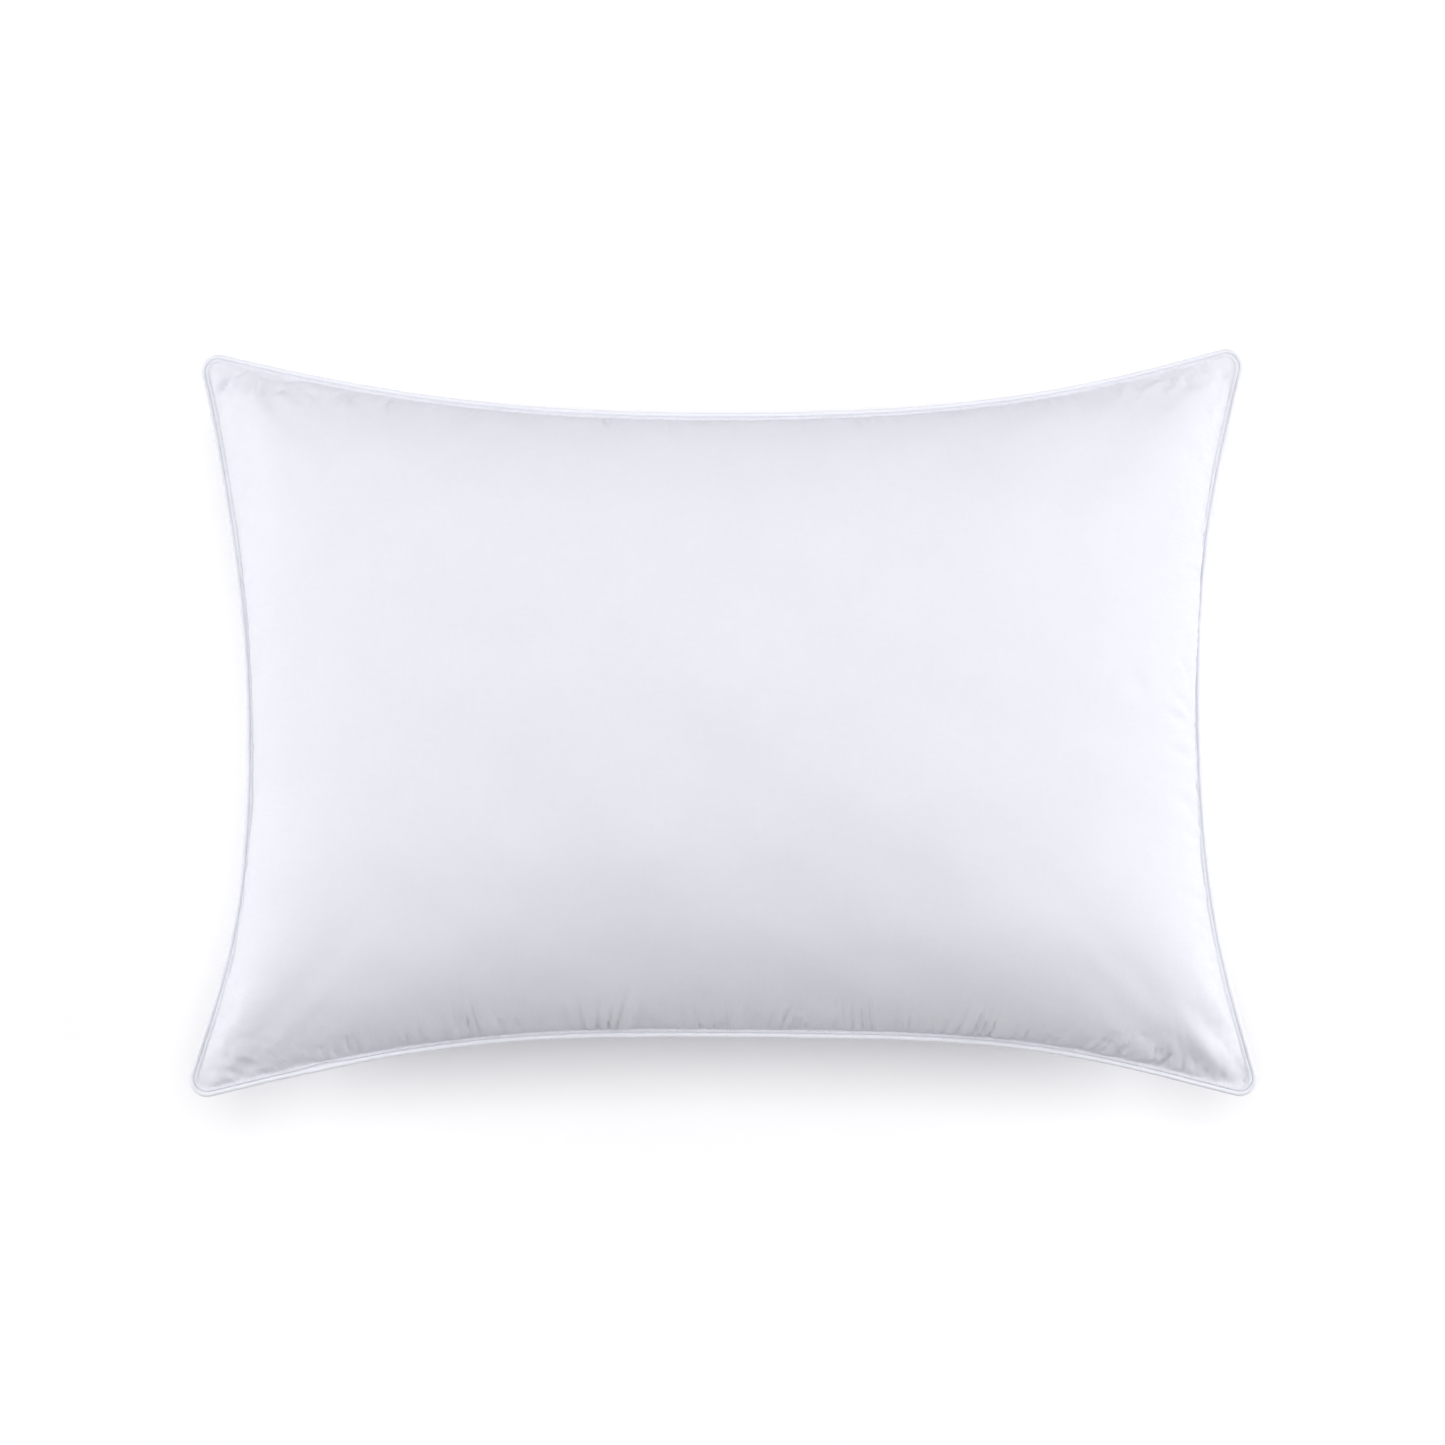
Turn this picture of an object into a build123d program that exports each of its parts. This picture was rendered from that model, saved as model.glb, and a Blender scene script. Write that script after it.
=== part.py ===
from build123d import *
import math
import os

# A rectangular bed pillow with a corded knife edge, lying flat.
# Frame: +X along the long side, +Y along the short side, +Z up. The origin is at the middle of the resting
# face, at the bottom of the box round the whole pillow. Millimetres.

# ---- overall size -------------------------------------------------------------------------------------------
HALF_LENGTH_MID = 318.6  # outer edge of the piping to the centre, half-way along the short sides
HALF_WIDTH_MID = 207.7  # outer edge of the piping to the centre, half-way along the long sides
HALF_LENGTH_CORNER = 356.5  # where the long and short edge arcs would meet, before rounding
HALF_WIDTH_CORNER = 251.5
CORNER_RADIUS = 14.0  # rounding of the four corners, on the outer edge of the piping
SEAM_HEIGHT = 80.0  # the edge seam above the surface the pillow lies on
LOFT_TOP = 108.0  # crown of the upper panel above the seam band
LOFT_BOTTOM = 108.0  # free crown of the lower panel, before the surface flattens it

# ---- edge construction, as offsets inwards from the outer edge of the piping ------------------------------------
PIPING_DIAMETER = 3.2  # casing round the filler cord
CORD_DIAMETER = 2.2
PANEL_CLOTH = 0.8
EDGE_CLOTH = 0.4
CASING_PLY = 0.3
SEAM_LINE = PIPING_DIAMETER + 0.1  # the fold of each panel
TOPSTITCH_INSET = SEAM_LINE + 2.2  # row of stitches beside the piping
CROWN_INSET = TOPSTITCH_INSET + 0.6  # where the filled crown begins
FLANGE_INSET = CROWN_INSET + 1.0  # inner end of the flat band
ALLOWANCE_INSET = SEAM_LINE + 8.0  # raw edge of the turned-in seam allowance
THREAD = 0.36
TOPSTITCH_THREAD = 0.4
CLEAR = 0.3

# heights above the seam plane of the layers of the edge, mirrored below it
Z_CASING = CASING_PLY
Z_ALLOWANCE = Z_CASING + EDGE_CLOTH
Z_GAP = Z_ALLOWANCE + 0.4
Z_FLANGE = Z_GAP + EDGE_CLOTH

# ---- crown profile ------------------------------------------------------------------------------------------
RIM_LIFT = 1.0
PROFILE_POWER = 2.0
RIM_SOFTNESS = 0.15
CORNER_RISE = 0.3
GRID_X = 37
GRID_Y = 27

# ---- closing seam: the opening the filling goes in through, on one short side -------------------------------------
CLOSING_LENGTH = 200.0

os.makedirs("parts", exist_ok=True)


def arc_circle(mid, corner_along, corner_across):
    """Centre distance and radius of the circle through the middle of an edge and its two corners, bulging inwards."""
    sag = corner_across - mid
    radius = (corner_along**2 + sag**2) / (2 * sag)
    return mid + radius, radius


CX, RX = arc_circle(HALF_LENGTH_MID, HALF_WIDTH_CORNER, HALF_LENGTH_CORNER)  # short sides
CY, RY = arc_circle(HALF_WIDTH_MID, HALF_LENGTH_CORNER, HALF_WIDTH_CORNER)  # long sides


def half_length(y, inset):
    """X of the short side's arc at this y, moved inwards by inset."""
    r = RX + inset
    return CX - math.sqrt(r * r - y * y)


def half_width(x, inset):
    r = RY + inset
    return CY - math.sqrt(r * r - x * x)


def corner(inset):
    """Where the two arcs meet, moved inwards by inset."""
    x, y = HALF_LENGTH_CORNER - inset, HALF_WIDTH_CORNER - inset
    for _ in range(60):
        x = half_length(y, inset)
        y = half_width(x, inset)
    return x, y


def outline(inset):
    """The pillow's plan, moved inwards by inset, as a face in the seam plane."""
    x, y = corner(inset)
    hx, hy = half_length(0, inset), half_width(0, inset)
    arcs = [
        ThreePointArc((-x, y), (0, hy), (x, y)),
        ThreePointArc((x, y), (hx, 0), (x, -y)),
        ThreePointArc((x, -y), (0, -hy), (-x, -y)),
        ThreePointArc((-x, -y), (-hx, 0), (-x, y)),
    ]
    face = make_face(Curve() + arcs)
    return fillet(face.vertices(), CORNER_RADIUS - inset)


def slab(inset, low, high):
    """A plate with the pillow's plan between two heights above the seam plane."""
    return extrude(Pos(0, 0, SEAM_HEIGHT + low) * outline(inset), high - low)


def ring(outer, inner, low, high):
    return slab(outer, low, high) - slab(inner, low - 1, high + 1)


def tube(inset, z, diameter):
    """A round thread or cord that runs all the way round at this inset."""
    wire = (Pos(0, 0, SEAM_HEIGHT + z) * outline(inset)).face().outer_wire()
    start = wire.position_at(0)
    plane = Plane(origin=start, z_dir=wire.tangent_at(0))
    return sweep(plane * Circle(diameter / 2), path=wire)


def rim(w):
    """0 at the edge and 1 in the middle, with a finite slope at the edge."""
    scale = math.sqrt(1 + RIM_SOFTNESS**2) - RIM_SOFTNESS
    if w < 0:  # outside the edge the surface levels out, and is trimmed away
        slope = 1 / (2 * RIM_SOFTNESS * scale)
        return slope * w / (1 - 8 * w)
    return (math.sqrt(w + RIM_SOFTNESS**2) - RIM_SOFTNESS) / scale


def crown(x, y, loft):
    u = abs(x) / half_length(y, CROWN_INSET)
    v = abs(y) / half_width(x, CROWN_INSET)
    wu, wv = 1 - u**PROFILE_POWER, 1 - v**PROFILE_POWER
    rise = 1 + CORNER_RISE * min(u, 1.05) ** 2 * min(v, 1.05) ** 2
    return Z_FLANGE + RIM_LIFT + loft * rim(wu) * rim(wv) * rise


def crown_face(loft, side):
    """The outside of a panel's crown as one surface. side is 1 for the upper panel, -1 for the lower one."""
    span_x, span_y = HALF_LENGTH_CORNER + 2, HALF_WIDTH_CORNER + 2
    rows = []
    for i in range(GRID_X):
        x = -span_x + 2 * span_x * i / (GRID_X - 1)
        row = []
        for j in range(GRID_Y):
            y = -span_y + 2 * span_y * j / (GRID_Y - 1)
            row.append(Vector(x, y, SEAM_HEIGHT + side * crown(x, y, loft)))
        rows.append(row)
    return Face.make_surface_from_array_of_points(rows, tol=0.03, min_deg=3, max_deg=3)


def inner_face(face, side, drop):
    """A crown surface moved towards the filling by drop, along its normal."""
    rows = []
    for i in range(GRID_X):
        row = []
        for j in range(GRID_Y):
            u, v = i / (GRID_X - 1), j / (GRID_Y - 1)
            point, normal = face.position_at(u, v), face.normal_at(u, v)
            if normal.Z * side > 0:
                normal = -normal
            row.append(point + normal * drop)
        rows.append(row)
    return Face.make_surface_from_array_of_points(rows, tol=0.03, min_deg=3, max_deg=3)


def under(face, inset, side, base):
    """The solid between a crown surface and the height base above the seam plane, inside the plan at inset."""
    if side > 0:
        body = Solid.extrude(face.moved(Location((0, 0, -220))), Vector(0, 0, 220))
        return slab(inset, base, 200) & body
    body = Solid.extrude(face, Vector(0, 0, 220))
    return slab(inset, -200, -base) & body


def band_of(side, outer, inner, low, high):
    return ring(outer, inner, low, high) if side > 0 else ring(outer, inner, -high, -low)


def above(shape, height):
    """What lies above a height over the resting surface."""
    return shape & Pos(0, 0, height + 200) * Box(900, 700, 400)


def panel(face, side):
    """One cover panel: filled crown, flat stitched band, fold at the seam line and turned-in allowance."""
    full = under(face, CROWN_INSET, side, 0)
    hollow = under(inner_face(face, side, PANEL_CLOTH), CROWN_INSET + PANEL_CLOTH, side, -1)
    if side < 0:  # the surface flattens the underside, and the cloth keeps its thickness there
        full = above(full, 0)
        hollow = above(hollow, PANEL_CLOTH)
    skin = full - hollow - (slab(0, -5, Z_GAP) if side > 0 else slab(0, -Z_GAP, 5))
    band = band_of(side, SEAM_LINE, FLANGE_INSET, Z_GAP, Z_FLANGE)
    fold = band_of(side, SEAM_LINE, SEAM_LINE + EDGE_CLOTH, Z_CASING, Z_FLANGE)
    allowance = band_of(side, SEAM_LINE, ALLOWANCE_INSET, Z_CASING, Z_ALLOWANCE)
    return skin + band + fold + allowance


def write(shape, node):
    solids = shape.solids()
    print(node, "solids", len(solids), "volume", round(shape.volume), "valid", all(s.is_valid for s in solids))
    body = solids[0] if len(solids) == 1 else Compound(solids)
    body.label = node
    export_step(body, f"parts/{node}.step")


# ---- cover ----------------------------------------------------------------------------------------------------
upper, lower = crown_face(LOFT_TOP, 1), crown_face(LOFT_BOTTOM, -1)
write(panel(upper, 1), "top_panel")
write(panel(lower, -1), "bottom_panel")

# ---- filling ------------------------------------------------------------------------------------------------------
drop = PANEL_CLOTH + CLEAR
inset = CROWN_INSET + drop + 0.2
fill = under(inner_face(upper, 1, drop), inset, 1, 0) + under(inner_face(lower, -1, drop), inset, -1, 0)
fill = above(fill, drop)
slot = Z_ALLOWANCE + 0.35 + CLEAR
fill = fill - ring(0, ALLOWANCE_INSET + 0.4 + CLEAR, -slot, slot)
write(fill, "down_and_feather_fill")

# ---- piping: bias casing with its two-ply tail in the seam, and the filler cord ------------------------------------
cord_line = PIPING_DIAMETER / 2
casing = tube(cord_line, 0, PIPING_DIAMETER) + ring(
    PIPING_DIAMETER - 0.3, ALLOWANCE_INSET, -Z_CASING, Z_CASING
)
write(casing - tube(cord_line, 0, CORD_DIAMETER), "piping_casing")
write(tube(cord_line, 0, CORD_DIAMETER - 0.1), "piping_cord")

# ---- threads ------------------------------------------------------------------------------------------------------
fold_line = SEAM_LINE + EDGE_CLOTH + THREAD / 2 + 0.02
fold_z = (Z_ALLOWANCE + Z_GAP) / 2
write(tube(fold_line, fold_z, THREAD), "assembly_needle_thread")
write(tube(fold_line, -fold_z, THREAD), "assembly_bobbin_thread")
stitch_z = Z_FLANGE + TOPSTITCH_THREAD / 2
write(tube(TOPSTITCH_INSET - 0.2, stitch_z, TOPSTITCH_THREAD), "topstitch_needle_thread")
write(tube(TOPSTITCH_INSET - 0.2, -stitch_z, TOPSTITCH_THREAD), "topstitch_bobbin_thread")
overlock = ring(ALLOWANCE_INSET - 2.2, ALLOWANCE_INSET + 0.4, -Z_ALLOWANCE - 0.35, Z_ALLOWANCE + 0.35) - ring(
    ALLOWANCE_INSET - 3.2, ALLOWANCE_INSET, -Z_ALLOWANCE, Z_ALLOWANCE
)
write(overlock, "overlock_thread")
closing = tube(SEAM_LINE + 0.7, stitch_z, TOPSTITCH_THREAD) & Pos(-330, 0, SEAM_HEIGHT) * Box(
    80, CLOSING_LENGTH, 20
)
write(closing, "closing_stitch_thread")
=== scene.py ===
import bpy, math
import numpy as np
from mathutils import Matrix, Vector


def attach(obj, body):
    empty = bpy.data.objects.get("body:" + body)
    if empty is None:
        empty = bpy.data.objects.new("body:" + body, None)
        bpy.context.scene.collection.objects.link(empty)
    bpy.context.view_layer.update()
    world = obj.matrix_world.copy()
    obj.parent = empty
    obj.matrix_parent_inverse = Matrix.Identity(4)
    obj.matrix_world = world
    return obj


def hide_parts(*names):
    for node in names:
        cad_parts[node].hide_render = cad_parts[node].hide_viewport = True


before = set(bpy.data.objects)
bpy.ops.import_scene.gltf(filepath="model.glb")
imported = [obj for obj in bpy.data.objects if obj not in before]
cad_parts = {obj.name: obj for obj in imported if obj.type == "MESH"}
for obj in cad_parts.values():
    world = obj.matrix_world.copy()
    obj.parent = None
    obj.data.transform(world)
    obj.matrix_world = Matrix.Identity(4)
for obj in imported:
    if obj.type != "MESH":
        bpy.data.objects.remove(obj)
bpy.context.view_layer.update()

# ---------------------------------------------------------------- plan of the pillow, in metres
MID_X, MID_Y = 0.3186, 0.2077
COR_X, COR_Y = 0.3565, 0.2515
COR_R = 0.0117
SEAM_Z = 0.080
FLAT_X, FLAT_Y = 0.711 / 2, 0.500 / 2
STITCH_INSET = 0.0055
FX, FY, FR = FLAT_X - 0.0022, FLAT_Y - 0.0022, 0.0115
NX, NY = 352, 180
EDGE_FINER = 0.15  # rows close up towards the two long sides
MM = 0.001


def arc_circle(mid, along, across):
    sag = across - mid
    r = (along**2 + sag**2) / (2 * sag)
    return mid + r, r


CX, RX = arc_circle(MID_X, COR_Y, COR_X)
CY, RY = arc_circle(MID_Y, COR_X, COR_Y)


def plan_quarter(inset, n=400):
    """Points of the outline in the first quadrant, from the middle of the right side up to the middle of the top side."""
    rx, ry, rc = RX + inset, RY + inset, COR_R - inset
    x, y = COR_X - 0.018, COR_Y - 0.018
    for _ in range(200):
        x = CX - math.sqrt((rx + rc) ** 2 - y * y)
        y = CY - math.sqrt((ry + rc) ** 2 - x * x)
    a0 = math.atan2(y, x - CX)
    p0 = (CX + rx * math.cos(a0), rx * math.sin(a0))
    b0 = math.atan2(y - CY, x)
    p1 = (ry * math.cos(b0), CY + ry * math.sin(b0))
    pts = []
    for t in np.linspace(math.pi, a0, n):
        pts.append((CX + rx * math.cos(t), rx * math.sin(t)))
    g0, g1 = math.atan2(p0[1] - y, p0[0] - x), math.atan2(p1[1] - y, p1[0] - x)
    for t in np.linspace(g0, g1, max(24, n // 6))[1:-1]:
        pts.append((x + rc * math.cos(t), y + rc * math.sin(t)))
    for t in np.linspace(b0, -math.pi / 2, n):
        pts.append((ry * math.cos(t), CY + ry * math.sin(t)))
    return np.array(pts)


def plan_loop(inset, n=400):
    """The whole outline, anticlockwise from the middle of the right side."""
    q = plan_quarter(inset, n)
    return np.concatenate([q, q[::-1][1:] * [-1, 1], q[1:] * [-1, -1], q[::-1][1:] * [1, -1]])[:-1]


def arc_length(loop):
    d = np.linalg.norm(np.roll(loop, -1, 0) - loop, axis=1)
    return np.concatenate([[0], np.cumsum(d)])


def sample(loop, s):
    """Points at the fractions s of the loop's length."""
    L = arc_length(loop)
    closed = np.concatenate([loop, loop[:1]])
    s = np.mod(s, 1) * L[-1]
    return np.stack([np.interp(s, L, closed[:, k]) for k in range(loop.shape[1])], 1)


def rows(ny, finer):
    t = np.linspace(-1, 1, ny + 1)
    return t * (1 + finer * (1 - t * t))


def flat_grid(nx, ny, finer=0.0):
    """The cut panel lying flat, with its four corners rounded."""
    xs, ys = np.linspace(-FX, FX, nx + 1), FY * rows(ny, finer)
    X, Y = np.meshgrid(xs, ys)
    ax, ay = np.abs(X) - (FX - FR), np.abs(Y) - (FY - FR)
    both = (ax > 0) & (ay > 0)
    k = np.where(both, np.maximum(ax, ay) / np.maximum(np.hypot(ax, ay), 1e-12), 1)
    X = np.where(both, np.sign(X) * (FX - FR + ax * k), X)
    Y = np.where(both, np.sign(Y) * (FY - FR + ay * k), Y)
    return np.stack([X, Y], -1)


def border_index(nx, ny):
    """(j, i) of the border, anticlockwise from the middle of the right side."""
    out = [(j, nx) for j in range(ny // 2, ny)]
    out += [(ny, i) for i in range(nx, 0, -1)]
    out += [(j, 0) for j in range(ny, 0, -1)]
    out += [(0, i) for i in range(0, nx)]
    out += [(j, nx) for j in range(0, ny // 2)]
    return np.array(out)


# how far each sewn side strays from its even arc, in mm, as cosine series along the side: top, bottom, right, left
SIDE_DRIFT = [
    [0.35, -0.89, 1.49, -0.93, 1.96, -0.33],
    [1.27, -0.90, 1.46, -0.37, -4.26, 1.00],
    [-1.10, 1.62, 0.77, -0.18, 0.98, 0.26],
    [-0.27, 2.76, -1.15, -2.65, -0.58, -1.13],
]


def drift(t, terms):
    return MM * sum(a * np.cos(k * math.pi * (t + 1) / 2) for k, a in enumerate(terms))


def plan_warp(P):
    """The sewn outline isn't quite even."""
    u, v = P[:, 0] / 0.35, P[:, 1] / 0.245
    right, top, left, bottom = (np.clip(t, 0, 1.05) ** 5 for t in (u, v, -u, -v))
    dy = drift(u, SIDE_DRIFT[0]) * top + drift(u, SIDE_DRIFT[1]) * bottom
    dx = drift(v, SIDE_DRIFT[2]) * right + drift(v, SIDE_DRIFT[3]) * left
    return P + np.stack([dx, dy], 1)


def seam_height(P):
    """Height of the edge seam: the corners hang a little and the sides undulate."""
    x, y = P[:, 0], P[:, 1]
    u, v = np.abs(x) / 0.35, np.abs(y) / 0.245
    droop = -0.007 * (u * v) ** 3
    wave = 0.0014 * np.sin(x * 17 + 1.3) * v**4 + 0.0014 * np.sin(y * 23 + 0.4) * u**4
    return SEAM_Z + 0.001 + droop + wave


def border_fractions(flat, nx, ny):
    """For each border vertex, the fraction of the sewn outline's length it is sewn to."""
    b = border_index(nx, ny)
    P = flat[b[:, 0], b[:, 1]]
    L = arc_length(P)
    f = L[:-1] / L[-1]
    fq = (FY - FR + FR * math.pi / 4) / L[-1]
    q = plan_quarter(STITCH_INSET)
    d = np.concatenate([[0], np.cumsum(np.linalg.norm(np.diff(q, axis=0), axis=1))])
    n = 400
    m = max(24, n // 6)
    tq = (d[n] + d[n + m - 2]) / 2 / (4 * d[-1])
    knots_f = [0, fq, 0.25, 0.5 - fq, 0.5, 0.5 + fq, 0.75, 1 - fq, 1]
    knots_t = [0, tq, 0.25, 0.5 - tq, 0.5, 0.5 + tq, 0.75, 1 - tq, 1]
    return b, np.interp(f, knots_f, knots_t)


STITCH_LOOP = plan_loop(STITCH_INSET)
STITCH_LENGTH = arc_length(STITCH_LOOP)[-1]


def rim_frame(s):
    """Stitch-line points in plan, outward directions and seam heights at the fractions s of the outline."""
    s = np.asarray(s, float)
    e = 0.0004
    p = sample(STITCH_LOOP, s)
    t = sample(STITCH_LOOP, s + e) - sample(STITCH_LOOP, s - e)
    t /= np.linalg.norm(t, axis=1)[:, None]
    n = np.stack([t[:, 1], -t[:, 0]], 1)
    return plan_warp(p), n, seam_height(p)


def rim_points(s, out, height):
    """Points at a distance out from the stitch line and a height over the seam."""
    p, n, z = rim_frame(s)
    return np.column_stack([p + n * np.reshape(out, (-1, 1)), z + height])


# ---------------------------------------------------------------- cloth simulation of the stuffed cover
def resample(A, count, finer=0.0):
    """The grid at other counts of cells, by cubic interpolation."""
    for axis, n in ((0, count[0]), (1, count[1])):
        A = np.moveaxis(A, axis, 0)
        m = len(A) - 1
        pad = np.concatenate([2 * A[:1] - A[1:2], A, 2 * A[-1:] - A[-2:-1]])
        t = (rows(n, finer if axis == 0 else 0.0) + 1) / 2 * m
        k = np.clip(t.astype(int), 0, m - 1)
        w = (t - k).reshape((-1,) + (1,) * (A.ndim - 1))
        p0, p1, p2, p3 = pad[k], pad[k + 1], pad[k + 2], pad[k + 3]
        A = p1 + 0.5 * w * (p2 - p0 + w * (2 * p0 - 5 * p1 + 4 * p2 - p3 + w * (3 * (p1 - p2) + p3 - p0)))
        A = np.moveaxis(A, 0, axis)
    return A


def build(nx, ny):
    """Vertex numbers of the upper and lower sheets, sharing their border, and the faces."""
    top = np.arange((nx + 1) * (ny + 1)).reshape(ny + 1, nx + 1)
    bot = top.copy()
    bot[1:-1, 1:-1] = np.arange((nx - 1) * (ny - 1)).reshape(ny - 1, nx - 1) + top.size
    t = np.stack([top[:-1, :-1], top[:-1, 1:], top[1:, 1:], top[1:, :-1]], -1).reshape(-1, 4)
    b = np.stack([bot[:-1, :-1], bot[1:, :-1], bot[1:, 1:], bot[:-1, 1:]], -1).reshape(-1, 4)
    return top, bot, np.concatenate([t, b])


def run_cloth(start, rest, faces, pins, frames, target=None, move=0, pressure=5.0, bend=0.05, shear=0.6):
    me = bpy.data.meshes.new("cloth")
    me.from_pydata(start.tolist(), [], faces.tolist())
    ob = bpy.data.objects.new("cloth", me)
    bpy.context.collection.objects.link(ob)
    ob.shape_key_add(name="Basis")
    if target is not None:
        k = ob.shape_key_add(name="Target")
        k.data.foreach_set("co", target.astype(np.float32).ravel())
        k.value = 0
        k.keyframe_insert("value", frame=1)
        k.value = 1
        k.keyframe_insert("value", frame=move)
    r = ob.shape_key_add(name="Rest")
    r.data.foreach_set("co", rest.astype(np.float32).ravel())
    r.value = 0
    g = ob.vertex_groups.new(name="pin")
    g.add([int(p) for p in pins], 1.0, "REPLACE")
    m = ob.modifiers.new("cloth", "CLOTH")
    s = m.settings
    s.quality = 5
    s.mass = 0.0002
    s.tension_stiffness = 40
    s.compression_stiffness = 20
    s.shear_stiffness = shear
    s.bending_stiffness = bend
    s.tension_damping = s.compression_damping = s.shear_damping = 5
    s.bending_damping = 0.5
    s.air_damping = 2
    s.use_pressure = True
    s.uniform_pressure_force = pressure
    s.vertex_group_mass = "pin"
    s.pin_stiffness = 1.0
    s.rest_shape_key = r
    s.effector_weights.gravity = 0
    m.collision_settings.use_self_collision = False
    m.collision_settings.use_collision = True
    m.collision_settings.distance_min = 0.001
    m.collision_settings.collision_quality = 1
    gm = bpy.data.meshes.new("ground")
    gm.from_pydata([(-1, -1, 0), (1, -1, 0), (1, 1, 0), (-1, 1, 0)], [], [(0, 1, 2, 3)])
    ground = bpy.data.objects.new("ground", gm)
    bpy.context.collection.objects.link(ground)
    c = ground.modifiers.new("collision", "COLLISION")
    c.settings.thickness_outer = 0.001
    ground.collision.cloth_friction = 5
    scene = bpy.context.scene
    scene.frame_start, scene.frame_end = 1, frames
    m.point_cache.frame_start, m.point_cache.frame_end = 1, frames
    for f in range(1, frames + 1):
        scene.frame_set(f)
    out = np.empty(len(start) * 3, np.float32)
    ob.evaluated_get(bpy.context.evaluated_depsgraph_get()).data.vertices.foreach_get("co", out)
    bpy.data.objects.remove(ob)
    bpy.data.objects.remove(ground)
    bpy.data.meshes.remove(me)
    bpy.data.meshes.remove(gm)
    for a in list(bpy.data.actions):
        bpy.data.actions.remove(a)
    scene.frame_set(1)
    return out.reshape(-1, 3).astype(float)


def gather_sheets(co, top, bot):
    return co[top], co[bot]


def scatter(T, B, top, bot):
    co = np.empty((bot.max() + 1, 3))
    co[bot.ravel()] = B.reshape(-1, 3)
    co[top.ravel()] = T.reshape(-1, 3)
    return co


def simulate():
    nx, ny = 60, 42
    T = B = None
    levels = [(60, 42, 34, 0.05), (120, 84, 14, 0.02)]
    for nx, ny, frames, bend in levels:
        top, bot, faces = build(nx, ny)
        flat = flat_grid(nx, ny)
        b, s = border_fractions(flat, nx, ny)
        sewn = rim_points(s, np.zeros(len(s)), 0.0)
        z0 = np.full(flat.shape[:2], SEAM_Z)
        puff = (1 - (flat[..., 0] / FX) ** 2) * (1 - (flat[..., 1] / FY) ** 2)
        restT = np.concatenate([flat, z0[..., None]], -1)
        rest = scatter(restT, restT, top, bot)
        pins = top[b[:, 0], b[:, 1]]
        if T is None:
            T0 = np.concatenate([flat, (z0 + 0.012 * puff)[..., None]], -1)
            B0 = np.concatenate([flat, (z0 - 0.012 * puff)[..., None]], -1)
            start = scatter(T0, B0, top, bot)
            target = start.copy()
            target[pins] = sewn
            co = run_cloth(start, rest, faces, pins, frames, target=target, move=16, bend=bend)
        else:
            T, B = resample(T, (ny, nx)), resample(B, (ny, nx))
            start = scatter(T, B, top, bot)
            start[pins] = sewn
            co = run_cloth(start, rest, faces, pins, frames, bend=bend)
        T, B = gather_sheets(co, top, bot)
    return T, B


def relax(A, times, keep_border=True):
    """Takes out ripples one or two cells long, with the border held."""
    for _ in range(times):
        S = A.copy()
        S[1:-1, 1:-1] = (
            4 * A[1:-1, 1:-1]
            + 2 * (A[:-2, 1:-1] + A[2:, 1:-1] + A[1:-1, :-2] + A[1:-1, 2:])
            + A[:-2, :-2] + A[:-2, 2:] + A[2:, :-2] + A[2:, 2:]
        ) / 16
        A = S
    return A


def calm(A, place, radius, times):
    """Irons one area, with its middle at place, and fades out round it."""
    w = np.exp(-((A[..., 0] - place[0]) ** 2 + (A[..., 1] - place[1]) ** 2) / radius**2)[..., None]
    for _ in range(times):
        A = A + w * (relax(A, 1) - A)
    return A


def grid_normals(G):
    du = np.gradient(G, axis=1)
    dv = np.gradient(G, axis=0)
    n = np.cross(du, dv)
    return n / np.maximum(np.linalg.norm(n, axis=-1, keepdims=True), 1e-12)


T, B = simulate()
T, B = relax(T, 3), relax(B, 3)
T = calm(T, (0.256, 0.194), 0.055, 12)
T, B = resample(T, (NY, NX), EDGE_FINER), resample(B, (NY, NX), EDGE_FINER)
flat = flat_grid(NX, NY, EDGE_FINER)
bidx, bfrac = border_fractions(flat, NX, NY)
nb = len(bidx)
edge_d = np.minimum(FX - np.abs(flat[..., 0]), FY - np.abs(flat[..., 1]))  # distance to the stitch line, laid flat

# the underside lies on the surface
B[..., 2] -= (B[..., 2].min() - 0.0001) * np.exp(-np.maximum(B[..., 2] - B[..., 2].min(), 0) / 0.02)

# ---------------------------------------------------------------- creases and gathers
rng = np.random.default_rng(20)


def crease(P, a, b, width, amp, head=0.25, sharp=1.0):
    """Height of one crease from a to b, in plan: a valley between two soft ridges, deepest near its head."""
    a, b = np.array(a), np.array(b)
    L = np.linalg.norm(b - a)
    t_dir = (b - a) / L
    n_dir = np.array([-t_dir[1], t_dir[0]])
    rel = P[..., :2] - a
    t = (rel @ t_dir) / L
    s = (rel @ n_dir) / (width * (0.6 + 0.8 * np.clip(t, 0, 1)))
    rise = np.clip(t / head, 0, 1)
    fall = np.clip((1 - t) / (1 - head), 0, 1)
    along = (rise * rise * (3 - 2 * rise)) * (fall * fall * (3 - 2 * fall))
    across = -np.exp(-((s / sharp) ** 2)) + 0.55 * (np.exp(-(((s - 1.7) / 1.2) ** 2)) + np.exp(-(((s + 1.7) / 1.2) ** 2)))
    return amp * along * across


def px(x, y):
    """A place on the upper panel near its edge, from its position in a 1445-unit square layout seen from above."""
    return (((x - 722.5) * 0.000667 - 0.0008) * 0.993, ((722.5 - y) * 0.000667 - 0.0002) * 0.993 - 0.0012)


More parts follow.
